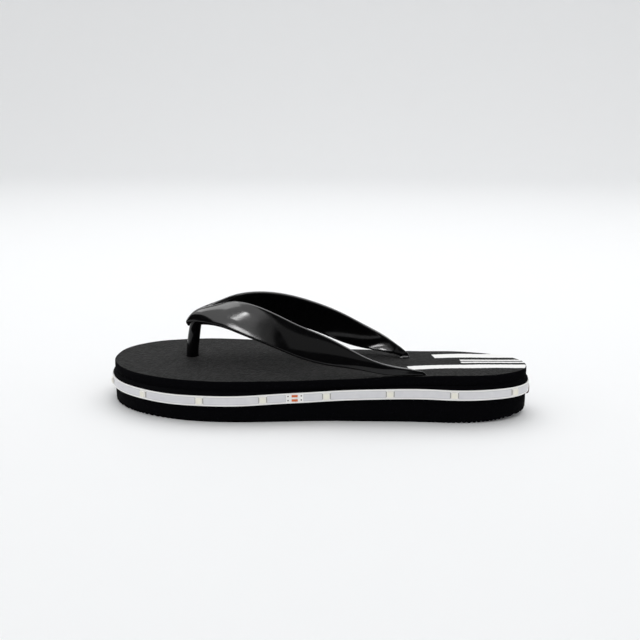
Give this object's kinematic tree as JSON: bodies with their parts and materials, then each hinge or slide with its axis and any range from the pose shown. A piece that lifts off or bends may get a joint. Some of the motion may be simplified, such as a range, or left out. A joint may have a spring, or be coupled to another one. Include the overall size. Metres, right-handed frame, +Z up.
{
  "type": "flip flop",
  "caption": "Left flip flop: layered foam sole with a light strip round its side, a toe post and two strap arms, and a sprung push button for the lights.",
  "frame": {"origin": "on the ground under the middle of the sole's length and width", "axes": "+X from toe to heel along the sole, +Y to the inner side of the left foot, +Z up"},
  "size_m": [0.2704, 0.1084, 0.0665],
  "materials": {
    "footbed_foam": "matt pebbled closed-cell foam",
    "core_foam": "matt cut foam",
    "outsole_foam": "matt cut foam",
    "strap_pvc": "glossy injection-moulded soft plastic",
    "adhesive_tape": "white foam tape",
    "solder_mask": "satin white solder mask",
    "led_body": "creamy resin",
    "copper": "bare copper",
    "module_plastic": "moulded",
    "board": "solder mask",
    "cell_steel": "bright",
    "lead_red": "insulation",
    "lead_black": "insulation",
    "button_rubber": "satin"
  },
  "bodies": {
    "sole": {"footbed": "footbed_foam", "foam_core": "core_foam", "outsole": "outsole_foam", "strap": "strap_pvc", "strip_tape": "adhesive_tape", "led_strip": "solder_mask", "led_01": "led_body", "led_02": "led_body", "led_03": "led_body", "led_04": "led_body", "led_05": "led_body", "led_06": "led_body", "led_07": "led_body", "led_08": "led_body", "led_09": "led_body", "led_10": "led_body", "led_11": "led_body", "led_12": "led_body", "led_13": "led_body", "led_14": "led_body", "led_15": "led_body", "led_16": "led_body", "cut_pad_1_lower": "copper", "cut_pad_1_upper": "copper", "cut_pad_2_lower": "copper", "cut_pad_2_upper": "copper", "cut_pad_3_lower": "copper", "cut_pad_3_upper": "copper", "module_case": "module_plastic", "module_lid": "module_plastic", "circuit_board": "board", "push_switch": "module_plastic", "contact_lower": "cell_steel", "coin_cell_1": "cell_steel", "coin_cell_2": "cell_steel", "contact_upper": "cell_steel", "lead_red": "lead_red", "lead_black": "lead_black"},
    "button": {"switch_button": "button_rubber"}
  },
  "joints": [
    {"name": "button_press", "type": "slide", "parent": "sole", "child": "button", "axis": [0, -1, 0], "range_m": [0, 0.0008], "stiffness_N_per_m": 1500, "springref_m": -0.0003}
  ]
}
